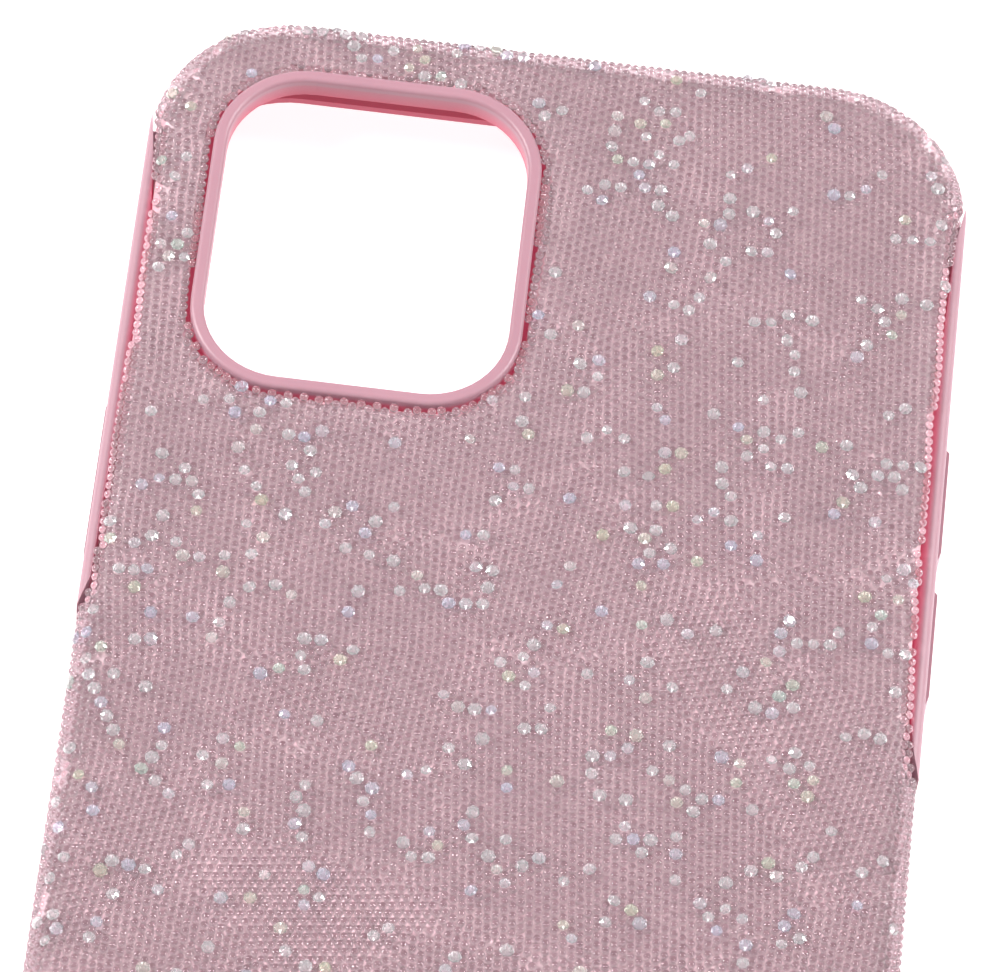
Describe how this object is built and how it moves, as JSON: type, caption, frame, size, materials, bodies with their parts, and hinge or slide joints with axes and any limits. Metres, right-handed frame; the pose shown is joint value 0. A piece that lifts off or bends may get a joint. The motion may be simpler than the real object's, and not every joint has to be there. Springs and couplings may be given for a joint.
{
  "type": "phone case",
  "caption": "Two-part phone case: a soft bumper with side buttons and a raised camera ring, inside a hard shell clad in glass-bead fabric.",
  "frame": {"origin": "under the middle of the case, on the plane that the front lip rests on; the case lies face down", "axes": "+Y to the camera end, +X to the volume buttons' side, +Z out of the back"},
  "size_m": [0.0776, 0.1521, 0.0109],
  "materials": {
    "soft_bumper": "satin moulded elastomer, pink",
    "soft_button": "satin moulded elastomer, pink",
    "shell_plastic": "moulded hard plastic, pale pink",
    "adhesive": "clear contact adhesive on a thin film",
    "fabric": "close-woven pink backing cloth",
    "bead_glass": "small round rose glass beads, polished",
    "stone_glass": "faceted clear glass with a faint pearly coat"
  },
  "bodies": {
    "bumper": {"bumper": "soft_bumper"},
    "shell": {"hard_shell": "shell_plastic", "adhesive_film": "adhesive", "carrier_fabric": "fabric", "glass_beads": "bead_glass", "crystal_stones": "stone_glass"},
    "volume_up": {"volume_up_button": "soft_button"},
    "volume_down": {"volume_down_button": "soft_button"},
    "side_key": {"side_button": "soft_button"}
  },
  "joints": [
    {"name": "shell_lift", "type": "slide", "parent": "bumper", "child": "shell", "axis": [0, 0, 1], "range_m": [0, 0.012]},
    {"name": "volume_up_press", "type": "slide", "parent": "bumper", "child": "volume_up", "axis": [-1, 0, 0], "range_m": [0, 0.0004], "stiffness_N_per_m": 500},
    {"name": "volume_down_press", "type": "slide", "parent": "bumper", "child": "volume_down", "axis": [-1, 0, 0], "range_m": [0, 0.0004], "stiffness_N_per_m": 500},
    {"name": "side_press", "type": "slide", "parent": "bumper", "child": "side_key", "axis": [1, 0, 0], "range_m": [0, 0.0004], "stiffness_N_per_m": 500}
  ]
}
